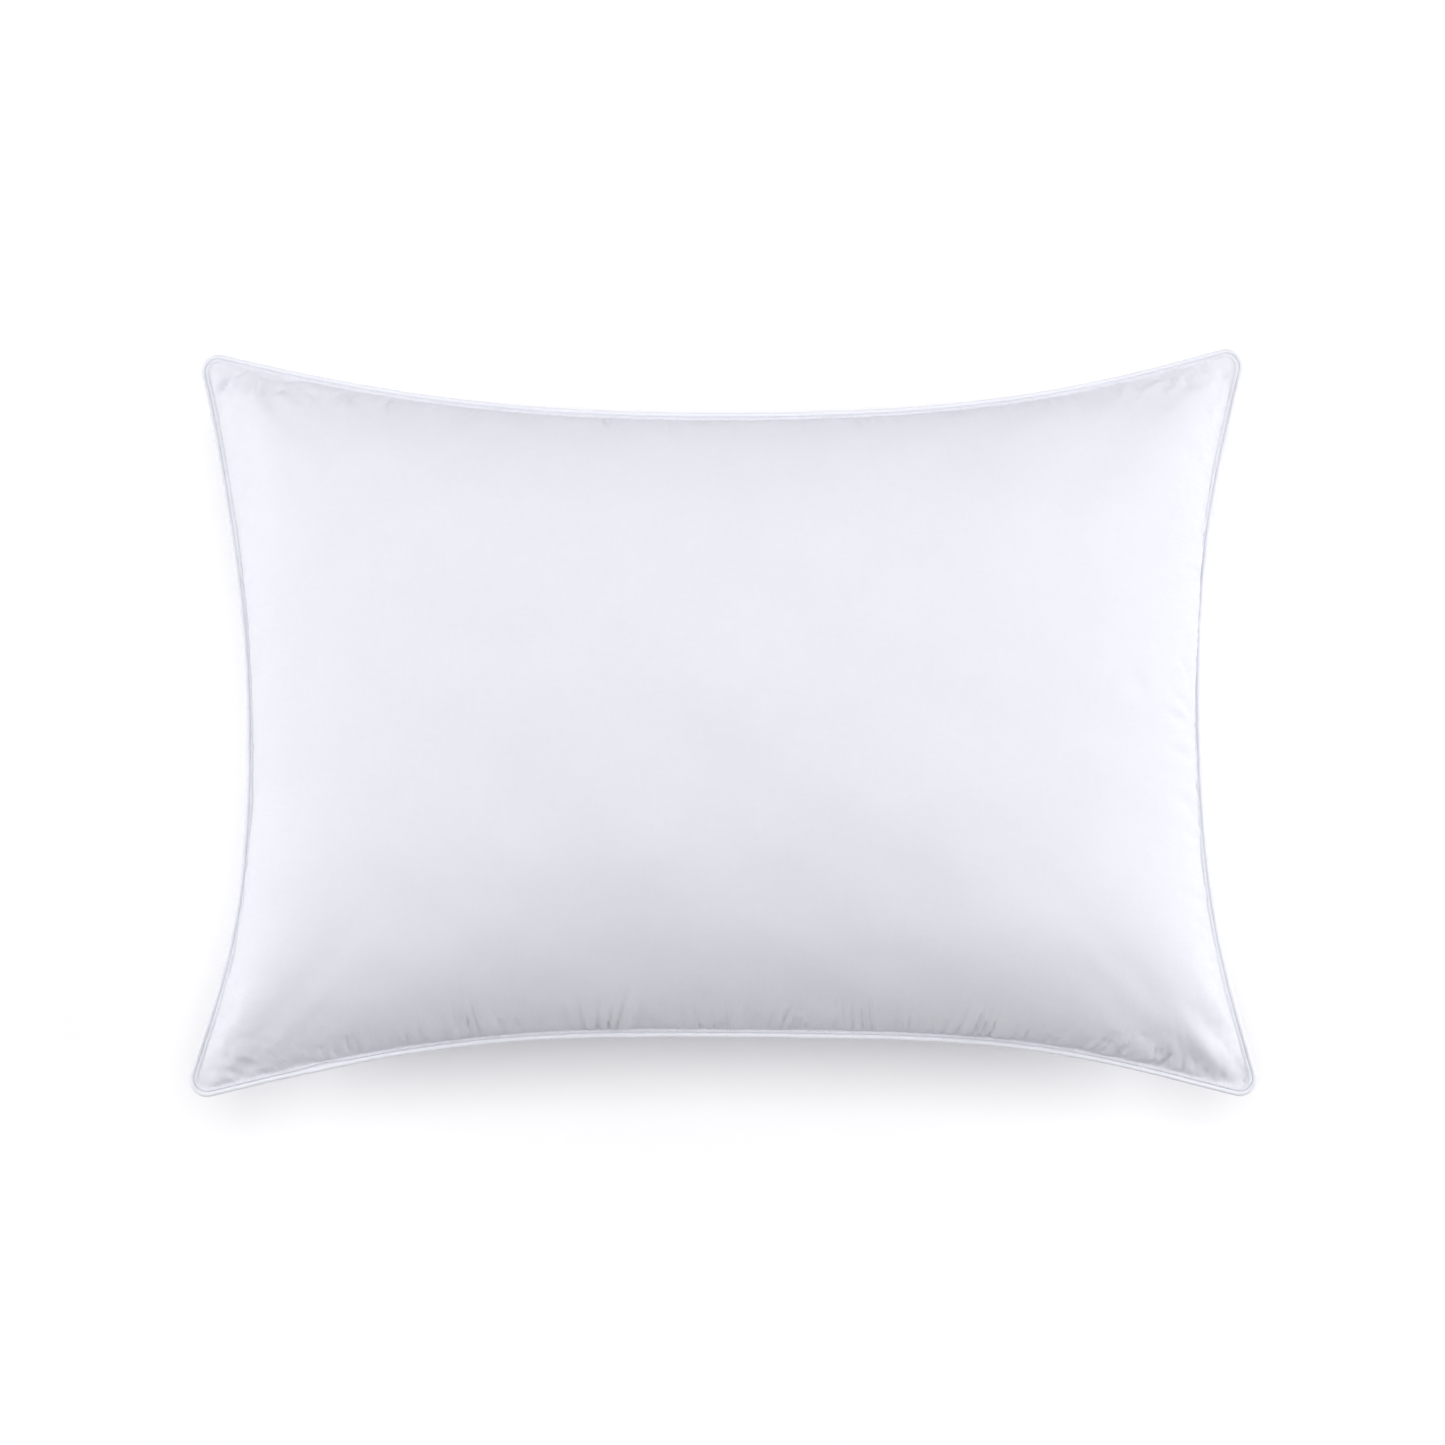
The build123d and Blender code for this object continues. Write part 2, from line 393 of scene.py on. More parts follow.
def gathers(P, seed, sides):
    """Short creases that leave the stitch line. sides: (name, count, from, to, amplitude, length)."""
    r = np.random.default_rng(seed)
    H = np.zeros(P.shape[:2])
    for side, count, lo, hi, amp, length in sides:
        at = np.sort(r.uniform(lo, hi, count))
        at = at + np.clip(r.normal(0, 1, count), -1, 1) * 0.002
        for x in at:
            l = length * r.uniform(0.5, 1.5)
            a = amp * r.uniform(0.35, 1.3)
            w = r.uniform(0.0021, 0.0042)
            slant = r.normal(0, 0.28)
            if side in ("bottom", "top"):
                v = -1 if side == "bottom" else 1
                base = CY - math.sqrt((RY + STITCH_INSET) ** 2 - min(abs(x), 0.33) ** 2)
                p0 = (x, v * (base - 0.0002))
                slant -= 0.9 * x / 0.35
                p1 = (x + slant * l, v * (base - l))
            else:
                v = -1 if side == "left" else 1
                base = CX - math.sqrt((RX + STITCH_INSET) ** 2 - min(abs(x), 0.23) ** 2)
                p0 = (v * (base - 0.0002), x)
                slant -= 0.7 * x / 0.245
                p1 = (v * (base - l), x + slant * l)
            H += crease(P, p0, p1, w, a, head=0.3)
    return H


def crumple(P, seed, count, lo, hi):
    """Crushed cloth: many small dents and ridges with no one direction, about 1 high."""
    r = np.random.default_rng(seed)
    X, Y = P[..., 0], P[..., 1]
    wx = 0.004 * np.sin(X * 61 + r.uniform(0, 6)) * np.sin(Y * 47 + r.uniform(0, 6))
    out = np.zeros(P.shape[:2])
    for _ in range(count):
        th, wl = r.uniform(0, math.pi), r.uniform(lo, hi)
        ph = ((X + wx) * math.cos(th) + (Y - wx) * math.sin(th)) * 2 * math.pi / wl + r.uniform(0, 6.28)
        out += np.sin(ph) * np.sin((X * math.sin(th) - Y * math.cos(th)) * 2 * math.pi / (wl * r.uniform(1.5, 4)) + r.uniform(0, 6.28))
    out /= math.sqrt(count) * 0.5
    return out - 0.5 * np.abs(out)


def waves(x, r, count, lo, hi):
    out = np.zeros_like(x)
    for _ in range(count):
        out += np.sin(x * 2 * math.pi / r.uniform(lo, hi) + r.uniform(0, 6.28))
    return out / math.sqrt(count / 2)


def puckers(F, G, seed, sides):
    """Fullness eased into the seam: rounded ridges with sharp valleys between, square to the edge and uneven.
    F is the cloth laid flat and G the filled panel. sides: (name, amplitude, spacing, reach in plan)."""
    r = np.random.default_rng(seed)
    X, Y = F[..., 0], F[..., 1]
    H = np.zeros(F.shape[:2])
    for side, amp, pitch, reach in sides:
        if side in ("bottom", "top"):
            along, d, span = X, (FY + Y if side == "bottom" else FY - Y), FX
            plan = np.abs(G[..., 1] - G[0 if side == "bottom" else -1, :, 1][None, :])
        else:
            along, d, span = Y, (FX + X if side == "left" else FX - X), FY
            plan = np.abs(G[..., 0] - G[:, 0 if side == "left" else -1, 0][:, None])
        d = np.maximum(d, 0)
        lean = -0.45 * along / span + 0.35 * waves(along, r, 3, 0.10, 0.22)
        q = along + lean * plan
        phase = q / pitch + 0.30 * waves(q, r, 4, 0.022, 0.07)
        ridge = np.abs(np.sin(math.pi * phase)) ** 0.9 - 0.62
        strength = np.clip(0.72 + 0.30 * waves(q, r, 4, 0.02, 0.13), 0.25, 1.35)
        depth = reach * (1 + 0.35 * np.clip(waves(along, r, 3, 0.02, 0.09), -1.5, 1.5))
        ends = 1 - np.clip((np.abs(along) / span - 0.93) / 0.07, 0, 1)
        H += amp * ends * strength * (1 - np.exp(-d / 0.0045)) * np.exp(-((plan / depth) ** 1.5)) * ridge
    return H


H = gathers(
    T, 7,
    [
        ("bottom", 26, -0.320, 0.330, 0.00035, 0.024),
        ("top", 18, -0.33, 0.33, 0.00055, 0.018),
        ("left", 10, -0.22, 0.22, 0.00045, 0.016),
        ("right", 16, -0.22, 0.22, 0.00080, 0.020),
    ],
)
H += puckers(flat, T, 5, [("bottom", 0.0023, 0.0086, 0.0150), ("top", 0.00165, 0.0095, 0.0120), ("left", 0.00045, 0.011, 0.0060), ("right", 0.00110, 0.011, 0.0100)])
# named creases of the upper panel
for a, b, w, amp in [
    (px(1224, 1074), px(1142, 978), 0.0078, -0.0019),
    (px(1244, 1062), px(1178, 1000), 0.0062, 0.0010),
    (px(1243, 1042), px(1156, 940), 0.0095, -0.0014),
    (px(1176, 1066), px(1122, 1010), 0.0065, 0.0013),
    (px(1106, 1060), px(1136, 1034), 0.0024, 0.0012),
    (px(1160, 1066), px(1172, 1048), 0.0022, 0.0011),
    (px(1128, 1062), px(1098, 1030), 0.0030, 0.0009),
    (px(251, 374), px(252, 404), 0.0024, -0.0014),
    (px(285, 380), px(262, 392), 0.0026, 0.0013),
    (px(300, 384), px(322, 402), 0.0028, 0.0013),
    (px(340, 392), px(362, 412), 0.0030, 0.0010),
    (px(246, 372), px(300, 440), 0.0045, 0.0010),
    (px(262, 374), px(345, 418), 0.0050, 0.0009),
    (px(216, 392), px(262, 410), 0.0030, 0.0008),
    (px(1165, 368), px(1112, 398), 0.0034, 0.0007),
    (px(1167, 372), px(1150, 394), 0.0028, -0.0012),
    (px(1187, 366), px(1182, 386), 0.0026, -0.0011),
    (px(1150, 376), px(1132, 402), 0.0030, 0.0010),
    (px(1205, 370), px(1130, 430), 0.0050, 0.0006),
    (px(1228, 372), px(1190, 440), 0.0048, 0.0006),
    (px(1189, 709), px(1160, 694), 0.0026, 0.0017),
    (px(1190, 729), px(1150, 711), 0.0030, 0.0019),
    (px(1187, 674), px(1168, 656), 0.0024, 0.0013),
    (px(1198, 567), px(1176, 574), 0.0024, 0.0012),
    (px(1190, 760), px(1150, 745), 0.0040, 0.0012),
    (px(1140, 700), px(1110, 672), 0.0070, 0.0009),
    (px(1200, 820), px(1160, 790), 0.0040, 0.0011),
    (px(600, 414), px(612, 436), 0.0026, 0.0009),
    (px(214, 1062), px(290, 1000), 0.0062, 0.0005),
    (px(222, 1076), px(330, 1034), 0.0050, 0.0004),
    (px(260, 1078), px(345, 1046), 0.0036, 0.0006),
    (px(225, 1030), px(262, 930), 0.0060, 0.0008),
]:
    H += crease(T, a, b, w, amp)
H += crease(T, px(228, 361), px(210, 395), 0.0027, 0.0046, head=0.55)  # the crisp fold in the far left corner
near = np.exp(-((np.maximum(edge_d, 0) / 0.036) ** 1.6))
cornered = (np.abs(flat[..., 0]) / FX * np.abs(flat[..., 1]) / FY) ** 3
crushed = crumple(flat, 31, 26, 0.009, 0.022)
H += 0.00014 * crushed * near * (1 + 1.8 * cornered + 0.3 * (flat[..., 1] > 0))
H += 0.00030 * crumple(flat, 33, 22, 0.022, 0.055) * np.exp(-np.maximum(edge_d, 0) / 0.05) * (0.6 + 1.2 * cornered)
# slow unevenness of the filling under the cloth
xs, ys = flat[..., 0], flat[..., 1]
lumps = np.zeros_like(xs)
for k in range(26):
    ang, wl = rng.uniform(0, math.pi), rng.uniform(0.045, 0.16)
    lumps += (wl / 0.1) ** 1.3 * np.sin((xs * math.cos(ang) + ys * math.sin(ang)) * 2 * math.pi / wl + rng.uniform(0, 6.28))
lumps *= 0.00016
fade = 1 - np.exp(-np.maximum(edge_d, 0) / 0.03)
H += lumps * fade
border_keep = 1 - np.exp(-((np.maximum(edge_d, 0) / 0.0022) ** 2))
LIFT = 0.00115
lift = LIFT * np.exp(-np.maximum(edge_d, 0) / 0.010)
T = T + grid_normals(T) * (H * border_keep)[..., None]
T[..., 2] += lift

HB = gathers(
    B, 11,
    [
        ("bottom", 34, -0.33, 0.33, 0.0005, 0.024),
        ("top", 34, -0.33, 0.33, 0.0005, 0.024),
        ("left", 18, -0.23, 0.23, 0.0004, 0.022),
        ("right", 18, -0.23, 0.23, 0.0004, 0.022),
    ],
)
HB += puckers(flat, B, 9, [("bottom", 0.0021, 0.0092, 0.014), ("top", 0.0020, 0.0092, 0.014), ("left", 0.0012, 0.0105, 0.010), ("right", 0.0012, 0.0105, 0.010)])
HB += 0.00018 * crumple(flat, 41, 26, 0.009, 0.022) * near * (1 + 1.6 * cornered)
HB += 0.00030 * crumple(flat, 43, 22, 0.022, 0.055) * np.exp(-np.maximum(edge_d, 0) / 0.06)
free = np.clip((B[..., 2] - 0.001) / 0.01, 0, 1)
B = B - grid_normals(B) * (HB * border_keep * free)[..., None]
B[..., 2] -= lift
B[..., 2] = np.maximum(B[..., 2], 0.00005)

# the border sits exactly on the stitch line
pb, nbn, zb = rim_frame(bfrac)
jj, ii = bidx[:, 0], bidx[:, 1]
T[jj, ii, :2] = pb
B[jj, ii, :2] = pb
T[jj, ii, 2] = zb + LIFT
B[jj, ii, 2] = zb - LIFT


# ---------------------------------------------------------------- mesh helpers
def make(name, verts, faces, cloth=None, smooth=True, rim=None, keep=None):
    me = bpy.data.meshes.new(name)
    me.from_pydata([tuple(v) for v in np.asarray(verts).tolist()], [], [list(f) for f in faces])
    if smooth:
        me.polygons.foreach_set("use_smooth", np.ones(len(me.polygons), bool))
    if cloth is not None:
        a = me.attributes.new("cloth", "FLOAT_VECTOR", "POINT")
        a.data.foreach_set("vector", np.asarray(cloth, np.float32).ravel())
    if rim is not None:
        a = me.attributes.new("rim", "FLOAT_VECTOR", "POINT")
        a.data.foreach_set("vector", np.asarray(rim, np.float32).ravel())
    if keep is not None:
        a = me.attributes.new("keep", "FLOAT", "POINT")
        a.data.foreach_set("value", np.asarray(keep, np.float32).ravel())
    me.update()
    ob = bpy.data.objects.new(name, me)
    bpy.context.collection.objects.link(ob)
    return ob


def strip(a, b):
    """Quads between two closed index loops of the same length."""
    a2, b2 = np.roll(a, -1), np.roll(b, -1)
    return np.stack([a, b, b2, a2], -1)


def quads(G):
    return np.stack([G[:-1, :-1], G[:-1, 1:], G[1:, 1:], G[1:, :-1]], -1).reshape(-1, 4)


# cross-section of the sewn edge, in mm: distance out from the stitch line, height over the seam
RIM = [
    (0.5, 1.33), (1.1, 1.5), (1.65, 1.44), (2.0, 1.2), (2.16, 0.85), (2.1, 0.5), (1.8, 0.36),
    (0.0, 0.33), (-5.8, 0.33), (-5.85, 0.67), (0.0, 0.68), (1.2, 0.7), (1.62, 0.86), (1.4, 1.1), (0.75, 1.02), (0.0, 0.82),
]


def panel_mesh(name, G, side):
    """One cover panel: crown, stitched band, fold, turned-in allowance, and the inside of the cloth."""
    n = grid_normals(G) * side
    verts = [G.reshape(-1, 3)]
    cloth = [np.concatenate([flat, np.full(flat.shape[:2] + (1,), side * 0.3)], -1).reshape(-1, 3)]
    Gi = np.arange(G[..., 0].size).reshape(G.shape[:2])
    faces = [quads(Gi)]
    last = Gi[jj, ii]
    count = Gi.size
    fb = flat[jj, ii]
    s_mm = bfrac * STITCH_LENGTH * 1000
    pucker = 0.10 * np.sin(s_mm * 2 * math.pi / 7.3 + side) * np.sin(s_mm * 2 * math.pi / 61) + 0.07 * np.sin(s_mm * 2 * math.pi / 4.9 + 2 * side)
    p, nn, z = pb, nbn, zb
    # at one place on the near long side the upper fold has drawn back from the piping
    at = s_mm[np.argmin(np.hypot(pb[:, 0] + 0.268, pb[:, 1] + 0.217))]
    tuck = (1.25 if side > 0 else 0.0) * np.exp(-(((s_mm - at) / 10.0) ** 2))
    run = 0.0
    prev = (0.0, LIFT / MM)
    for k, (u, w) in enumerate(RIM):
        run += math.hypot(u - prev[0], w - prev[1])
        prev = (u, w)
        ww = w + (pucker * min(1, u / 0.9) if k < 5 else 0)
        back = tuck * min(max(u, 0) / 1.2, 1)
        ring = np.column_stack([p + nn * ((u - back) * MM)[:, None], z + side * np.broadcast_to(ww, (nb,)) * MM])
        verts.append(ring)
        cloth.append(np.column_stack([fb + nn * (run * MM), np.full(nb, side * 0.3)]))
        idx = np.arange(nb) + count
        count += nb
        faces.append(strip(last, idx))
        last = idx
    # the inside of the cloth at half the resolution
    In = G[::2, ::2] - n[::2, ::2] * 0.0008
    cl = flat[::2, ::2]
    if side < 0:
        In[..., 2] = np.maximum(In[..., 2], 0.0008)
    hb, hf = border_fractions(flat_grid(NX // 2, NY // 2), NX // 2, NY // 2)
    hp, hn, hz = pb[::2], nbn[::2], zb[::2]
    In[hb[:, 0], hb[:, 1]] = np.column_stack([hp - hn * 0.0006, hz + side * 0.00086])
    Ii = np.arange(In[..., 0].size).reshape(In.shape[:2]) + count
    verts.append(In.reshape(-1, 3))
    cloth.append(np.concatenate([cl, np.full(cl.shape[:2] + (1,), side * 0.9)], -1).reshape(-1, 3))
    faces.append(quads(Ii)[:, ::-1])
    inner = Ii[hb[:, 0], hb[:, 1]]
    a0, a1, a2 = last[0::2], last[1::2], np.roll(last[0::2], -1)
    i0, i1 = inner, np.roll(inner, -1)
    tri = [np.stack([a0, i0, a1], -1), np.stack([a1, i1, a2], -1), np.stack([a1, i0, i1], -1)]
    tris = np.concatenate(tri)
    allf = [f[:, ::-1] if side < 0 else f for f in faces]
    tris = tris if side > 0 else tris[:, ::-1]
    V = np.concatenate(verts)
    fl = []
    for f in allf:
        fl += f.tolist()
    fl += tris.tolist()
    C = np.concatenate(cloth)
    dx, dy = FX - np.abs(C[:, 0]), FY - np.abs(C[:, 1])
    to_long = dy < dx
    rim = np.column_stack([np.where(to_long, C[:, 0], C[:, 1] + 3.0), np.maximum(np.minimum(dx, dy), 0), C[:, 2]])
    rim[:, 0] += np.where(to_long, -0.45 * C[:, 0] / FX, -0.45 * C[:, 1] / FY) * rim[:, 1]
    keep = np.clip((np.abs(dx - dy) - 0.006) / 0.012, 0, 1)  # nil on the corners' diagonals, where the two sides meet
    return make(name, V, fl, C, rim=rim, keep=keep)


def sweep_loop(s, section, closed_section=True):
    """A closed mesh from a cross-section swept all the way round. section gives (out, height) arrays of shape (len(s), M), in mm."""
    out, hgt = section
    p, n, z = rim_frame(s)
    K, M = out.shape
    V = np.empty((K, M, 3))
    V[..., :2] = p[:, None, :] + n[:, None, :] * (out[..., None] * MM)
    V[..., 2] = z[:, None] + hgt * MM
    idx = np.arange(K * M).reshape(K, M)
    a, b = idx, np.roll(idx, -1, 0)
    f = np.stack([a, b, np.roll(b, -1, 1), np.roll(a, -1, 1)], -1).reshape(-1, 4)
    return V.reshape(-1, 3), f


def signed_volume(V, F):
    V = np.asarray(V)
    F = np.asarray(F)
    a, b, c = V[F[:, 0]], V[F[:, 1]], V[F[:, 2]]
    v = np.einsum("ij,ij->i", a, np.cross(b, c)).sum()
    if F.shape[1] == 4:
        d = V[F[:, 3]]
        v += np.einsum("ij,ij->i", a, np.cross(c, d)).sum()
    return v / 6


def outward(V, F, inside=False):
    return F if (signed_volume(V, F) > 0) != inside else F[:, ::-1]


# ---------------------------------------------------------------- cover panels
top_panel = panel_mesh("cover_top_panel", T, 1)
bottom_panel = panel_mesh("cover_bottom_panel", B, -1)

# ---------------------------------------------------------------- piping: casing and cord
PK = 2300
ps = np.arange(PK) / PK
p_mm = ps * STITCH_LENGTH * 1000
JOIN = 0.25 * STITCH_LENGTH * 1000 + 15  # on the long top side, a little left of its middle
after = p_mm - JOIN
lap = np.where((after > -7) & (after < 7), 1.0, 0.0) * np.clip((after + 7) / 0.9, 0, 1) * np.clip((7 - after) / 2.5, 0, 1)
ang = np.radians(np.linspace(161, -161, 15))


def place_of(x, y):
    """Fraction of the outline nearest a point in plan."""
    t = np.arange(20000) / 20000
    return t[np.argmin(np.linalg.norm(sample(STITCH_LOOP, t) - [x, y], axis=1))]


GAPS = [(place_of(-0.268, -0.217) * STITCH_LENGTH * 1000, 0.30, 10.0), (place_of(-0.06, -0.203) * STITCH_LENGTH * 1000, 0.35, 20.0)]


def piping_wander(mm):
    """The piping isn't quite parallel to the fold, and stands off it at two places."""
    w = 0.05 * np.sin(mm * 2 * math.pi / 37) + 0.03 * np.sin(mm * 2 * math.pi / 11.7 + 1) + 0.07 * np.sin(mm * 2 * math.pi / 83 + 0.5)
    for at, by, reach in GAPS:
        w = w + by * np.exp(-(((mm - at) / reach) ** 2))
    return w


wander = piping_wander(p_mm)
rr = 1.56 * (
    1
    + 0.020 * np.sin(p_mm[:, None] * 2 * math.pi / 5.3 + 2.2 * ang[None, :] + 1.4 * np.sin(p_mm / 41)[:, None])
    + 0.014 * np.sin(p_mm[:, None] * 2 * math.pi / 3.1 - 1.6 * ang[None, :])
) + 0.16 * lap[:, None]
c_out = 3.9 + wander[:, None] + rr * np.cos(ang)[None, :]
c_hgt = rr * np.sin(ang)[None, :] + 0.05 * np.sin(p_mm * 2 * math.pi / 53)[:, None]
tail_u = np.array([2.0, 0.5, -2.5, -5.75])
tail_dn = np.stack([np.tile(tail_u, (PK, 1)), np.full((PK, 4), -0.3)], 0)
tail_up = np.stack([np.tile(tail_u[::-1], (PK, 1)), np.full((PK, 4), 0.3)], 0)
sec_out = np.concatenate([c_out, tail_dn[0], tail_up[0]], 1)
sec_hgt = np.concatenate([c_hgt, tail_dn[1], tail_up[1]], 1)
V1, F1 = sweep_loop(ps, (sec_out, sec_hgt))
F1 = outward(V1, F1)
M1 = sec_out.shape[1]
around = np.concatenate([[0], np.cumsum(np.hypot(np.diff(sec_out[0]), np.diff(sec_hgt[0])))])
C1 = np.stack([np.tile(p_mm[:, None], (1, M1)), np.tile(around[None, :], (PK, 1)), np.zeros((PK, M1))], -1).reshape(-1, 3) * MM
ia = np.radians(np.linspace(0, 360, 11)[:-1])
V2, F2 = sweep_loop(ps, (3.9 + wander[:, None] + 1.12 * np.cos(ia)[None, :] + 0 * p_mm[:, None], 1.12 * np.sin(ia)[None, :] + 0 * p_mm[:, None]))
F2 = outward(V2, F2, inside=True)
C2 = np.stack([np.tile(p_mm[:, None], (1, 10)), np.tile(ia[None, :] * 1.12, (PK, 1)), np.zeros((PK, 10))], -1).reshape(-1, 3) * MM
casing = make("piping_bias_casing", np.concatenate([V1, V2]), F1.tolist() + (F2 + len(V1)).tolist(), np.concatenate([C1, C2]))

CK = 1500
cs = np.arange(CK) / CK
c_mm = cs * STITCH_LENGTH * 1000
turns = round(c_mm[-1] / 7.0)
ca = np.radians(np.linspace(0, 360, 19)[:-1])
cr = 1.0 - 0.20 * (1 - np.abs(np.cos(1.5 * (ca[None, :] - cs[:, None] * turns * 2 * math.pi / 1.0))))
wander_c = piping_wander(c_mm)
V, F = sweep_loop(cs, (3.9 + wander_c[:, None] + cr * np.cos(ca)[None, :], cr * np.sin(ca)[None, :]))
cord = make("piping_filler_cord", V, outward(V, F).tolist(),
            np.stack([np.tile(c_mm[:, None], (1, 18)), np.tile(ca[None, :], (CK, 1)), np.zeros((CK, 18))], -1).reshape(-1, 3) * MM)


# ---------------------------------------------------------------- threads
def stitches(name, at_mm, length, out, height, side, radius, dip, sides=7, rings=6, seed=1):
    """A row of stitches, each a short length of thread that dives into the cloth at both ends."""
    r = np.random.default_rng(seed)
    n = len(at_mm)
    t = np.linspace(-1, 1, rings)
    jitter = r.normal(0, 0.035, n)
    lean = r.normal(0, 0.05, n)
    s = (at_mm[:, None] + t[None, :] * length / 2) / (STITCH_LENGTH * 1000)
    o = out + jitter[:, None] + lean[:, None] * t[None, :] + 0 * s
    h = height - dip * t[None, :] ** 4 + 0 * s
    rad = radius * np.sqrt(np.clip(1 - np.abs(t) ** 5, 0.05, 1))
    a = np.linspace(0, 2 * math.pi, sides + 1)[:-1]
    p, nrm, z = rim_frame(s.ravel())
    p, nrm, z = p.reshape(n, rings, 2), nrm.reshape(n, rings, 2), z.reshape(n, rings)
    oo = o[..., None] + rad[None, :, None] * np.cos(a)[None, None, :]
    hh = h[..., None] + rad[None, :, None] * np.sin(a)[None, None, :]
    V = np.empty((n, rings, sides, 3))
    V[..., :2] = p[:, :, None, :] + nrm[:, :, None, :] * (oo[..., None] * MM)
    V[..., 2] = z[:, :, None] + side * hh * MM
    per = rings * sides
    base = np.arange(n)[:, None] * (per + 2)
    end0 = np.concatenate([p[:, 0] + nrm[:, 0] * (o[:, :1] * MM), (z[:, 0] + side * (h[:, 0] - radius * 0.3) * MM)[:, None]], 1)
    end1 = np.concatenate([p[:, -1] + nrm[:, -1] * (o[:, -1:] * MM), (z[:, -1] + side * (h[:, -1] - radius * 0.3) * MM)[:, None]], 1)
    VV = np.concatenate([V.reshape(n, per, 3), end0[:, None], end1[:, None]], 1)
    idx = np.arange(per).reshape(rings, sides)
    q = np.stack([idx[:-1], np.roll(idx[:-1], -1, 1), np.roll(idx[1:], -1, 1), idx[1:]], -1).reshape(-1, 4)
    c0 = np.stack([np.full(sides, per), np.roll(idx[0], -1), idx[0]], -1)
    c1 = np.stack([np.full(sides, per + 1), idx[-1], np.roll(idx[-1], -1)], -1)
    one = np.concatenate([V.reshape(n, per, 3)[0], end0[:1], end1[:1]])
    flip = signed_volume(one - one.mean(0), q) < 0
    if flip:
        q, c0, c1 = q[:, ::-1], c0[:, ::-1], c1[:, ::-1]
    Q = (q[None] + base[:, :, None]).reshape(-1, 4)
    C = (np.concatenate([c0, c1])[None] + base[:, :, None]).reshape(-1, 3)
    cl = np.zeros((n, per + 2, 3))
    cl[:, :per, 0] = np.repeat(at_mm[:, None] + t[None, :] * length / 2, sides, 1) * MM
    cl[:, :per, 1] = np.tile(a * radius * MM, (n, rings))
    cl[:, per:, 0] = at_mm[:, None] * MM
    return make(name, VV.reshape(-1, 3), Q.tolist() + C.tolist(), cl.reshape(-1, 3))


LOOP_MM = STITCH_LENGTH * 1000
count = round(LOOP_MM / 2.8)
at = np.arange(count) * LOOP_MM / count
needle = stitches("topstitch_needle_row", at, 2.45, 0.25, 1.50, 1, 0.19, 0.34, seed=3)
bobbin = stitches("topstitch_bobbin_row", at + 1.4, 2.45, 0.25, 1.50, -1, 0.19, 0.34, seed=4)
count2 = round(LOOP_MM / 2.5)
at2 = np.arange(count2) * LOOP_MM / count2
join_needle = stitches("assembly_needle_row", at2, 2.3, 1.42, 0.885, 1, 0.09, 0.02, sides=5, rings=4, seed=5)
join_bobbin = stitches("assembly_bobbin_row", at2 + 1.2, 2.3, 1.42, 0.885, -1, 0.09, 0.02, sides=5, rings=4, seed=6)
half = 0.5 * LOOP_MM
at3 = half + np.arange(-99, 100, 2.3)
closing = stitches("closing_stitch_row", at3, 2.0, 1.5, 1.60, 1, 0.17, 0.30, seed=8)

# overlock: a thread that loops over the raw edges inside
loops = round(LOOP_MM / 3.0)
steps = 10
ok = np.arange(loops * steps)
phase = ok / steps * 2 * math.pi
o_s = (ok / steps) / loops + 0.0002 * np.sin(phase)
o_out = -4.75 - 1.38 * np.cos(phase) + 0.04 * np.sin(phase * 0.37)
o_hgt = 0.86 * np.sin(phase) * np.clip(1.35 * (np.abs(np.sin(phase)) + 1e-6) ** -0.35, 0, 1.0)
centre = rim_points(o_s, o_out * MM, o_hgt * MM)
tan = np.roll(centre, -1, 0) - np.roll(centre, 1, 0)
tan /= np.linalg.norm(tan, axis=1)[:, None]
side_v = np.cross(tan, [0.0, 0.0, 1.0])
side_v /= np.maximum(np.linalg.norm(side_v, axis=1)[:, None], 1e-9)
up_v = np.cross(side_v, tan)
oa = np.linspace(0, 2 * math.pi, 6)[:-1]
V = centre[:, None, :] + 0.00011 * (np.cos(oa)[None, :, None] * side_v[:, None, :] + np.sin(oa)[None, :, None] * up_v[:, None, :])
idx = np.arange(len(ok) * 5).reshape(-1, 5)
f = np.stack([idx, np.roll(idx, -1, 0), np.roll(np.roll(idx, -1, 0), -1, 1), np.roll(idx, -1, 1)], -1).reshape(-1, 4)
V = V.reshape(-1, 3)
if np.einsum("i,i->", np.cross(V[f[0, 1]] - V[f[0, 0]], V[f[0, 2]] - V[f[0, 0]]), V[f[0, 0]] - centre[0]) < 0:
    f = f[:, ::-1]
overlock = make("overlock_thread_loops", V, f.tolist(), np.stack([np.repeat(ok * 0.0008, 5), np.tile(oa * 0.0001, len(ok)), np.zeros(len(ok) * 5)], -1))

# ---------------------------------------------------------------- filling
nT, nB = grid_normals(T)[::2, ::2][2:-2, 2:-2], grid_normals(B)[::2, ::2][2:-2, 2:-2]
lump = np.zeros(nT.shape[:2])
fx, fy = flat[::2, ::2, 0][2:-2, 2:-2], flat[::2, ::2, 1][2:-2, 2:-2]
for k in range(30):
    a_, wl = rng.uniform(0, math.pi), rng.uniform(0.016, 0.05)
    lump += np.sin((fx * math.cos(a_) + fy * math.sin(a_)) * 2 * math.pi / wl + rng.uniform(0, 6.28))
lump = 0.0018 + 0.0006 * (1 + np.tanh(lump / 4))
TF = T[::2, ::2][2:-2, 2:-2] - nT * lump[..., None]
BF = B[::2, ::2][2:-2, 2:-2] + nB * lump[::-1, ::-1][..., None]
BF[..., 2] = np.maximum(BF[..., 2], 0.0016)
ft, fb_i, ff = build(TF.shape[1] - 1, TF.shape[0] - 1)
nfx, nfy = TF.shape[1] - 1, TF.shape[0] - 1
Ti = np.arange(TF[..., 0].size).reshape(TF.shape[:2])
Bi = Ti + Ti.size
hb2 = border_index(nfx, nfy + (nfy % 2)) if nfy % 2 == 0 else border_index(nfx, nfy)
ta, ba = Ti[hb2[:, 0], hb2[:, 1]], Bi[hb2[:, 0], hb2[:, 1]]
